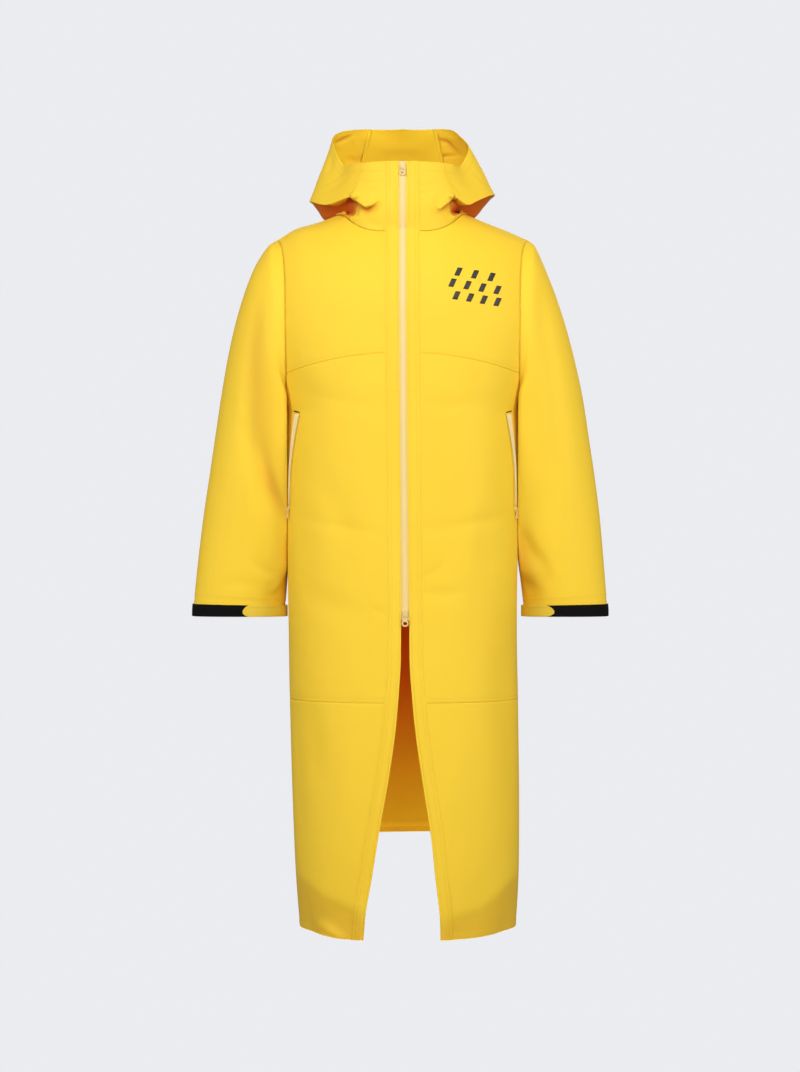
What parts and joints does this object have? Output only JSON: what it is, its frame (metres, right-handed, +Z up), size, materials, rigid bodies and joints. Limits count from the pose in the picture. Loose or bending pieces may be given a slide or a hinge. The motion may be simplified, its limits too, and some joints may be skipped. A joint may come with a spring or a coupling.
{
  "type": "hooded long zip raincoat, filled out and hollow",
  "caption": "Long hooded raincoat with a full-length zip, an open slit below it, pocket zips and cuff tabs, filled out and hollow.",
  "frame": {"origin": "inside the neck, on the centre line, where a neck and shoulders hold the coat up", "axes": "+Z up along the coat's length, -Y out of the coat's front, +X to the viewer's right"},
  "size_m": [0.7333, 0.3064, 1.417],
  "materials": {
    "coated_cloth": "matt coated weave",
    "zip_tape": "matt",
    "zip_pull": "satin",
    "cuff_strip": "looped pile",
    "dark_trim": "matt"
  },
  "bodies": {
    "coat": {"front_yoke_left": "coated_cloth", "front_yoke_right": "coated_cloth", "front_middle_left": "coated_cloth", "front_middle_right": "coated_cloth", "front_skirt_left": "coated_cloth", "front_skirt_right": "coated_cloth", "back_panel": "coated_cloth", "sleeve_left": "coated_cloth", "sleeve_right": "coated_cloth", "cuff_band_left": "cuff_strip", "cuff_band_right": "cuff_strip", "cuff_tab_left": "coated_cloth", "cuff_tab_right": "coated_cloth", "collar_left": "coated_cloth", "collar_right": "coated_cloth", "hood_left": "coated_cloth", "hood_right": "coated_cloth", "hood_centre": "coated_cloth", "front_zip": "zip_tape", "pocket_zip_left": "zip_tape", "pocket_zip_right": "zip_tape", "pocket_bar_left": "dark_trim", "pocket_bar_right": "dark_trim", "pocket_slider_left": "zip_pull", "pocket_slider_right": "zip_pull", "slider_top": "zip_pull", "slider_bottom": "zip_pull"},
    "pull_top": {"pull_top": "zip_pull"},
    "pull_bottom": {"pull_bottom": "zip_pull"},
    "pull_pocket_left": {"pocket_pull_left": "zip_pull"},
    "pull_pocket_right": {"pocket_pull_right": "zip_pull"}
  },
  "joints": [
    {"name": "pull_top_swing", "type": "hinge", "parent": "coat", "child": "pull_top", "pos_m": [0, -0.10397, 0.08395], "axis": [-1, 0, 0], "range_deg": [0, 110]},
    {"name": "pull_bottom_swing", "type": "hinge", "parent": "coat", "child": "pull_bottom", "pos_m": [0.00424, -0.13645, -0.678], "axis": [-1, 0, 0], "range_deg": [0, 110]},
    {"name": "pull_pocket_left_swing", "type": "hinge", "parent": "coat", "child": "pull_pocket_left", "pos_m": [-0.19917, -0.04808, -0.49816], "axis": [-0.2885, 0.9575, 0], "range_deg": [0, 30]},
    {"name": "pull_pocket_right_swing", "type": "hinge", "parent": "coat", "child": "pull_pocket_right", "pos_m": [0.19774, -0.04784, -0.49816], "axis": [-0.3798, -0.9251, 0], "range_deg": [0, 30]}
  ]
}
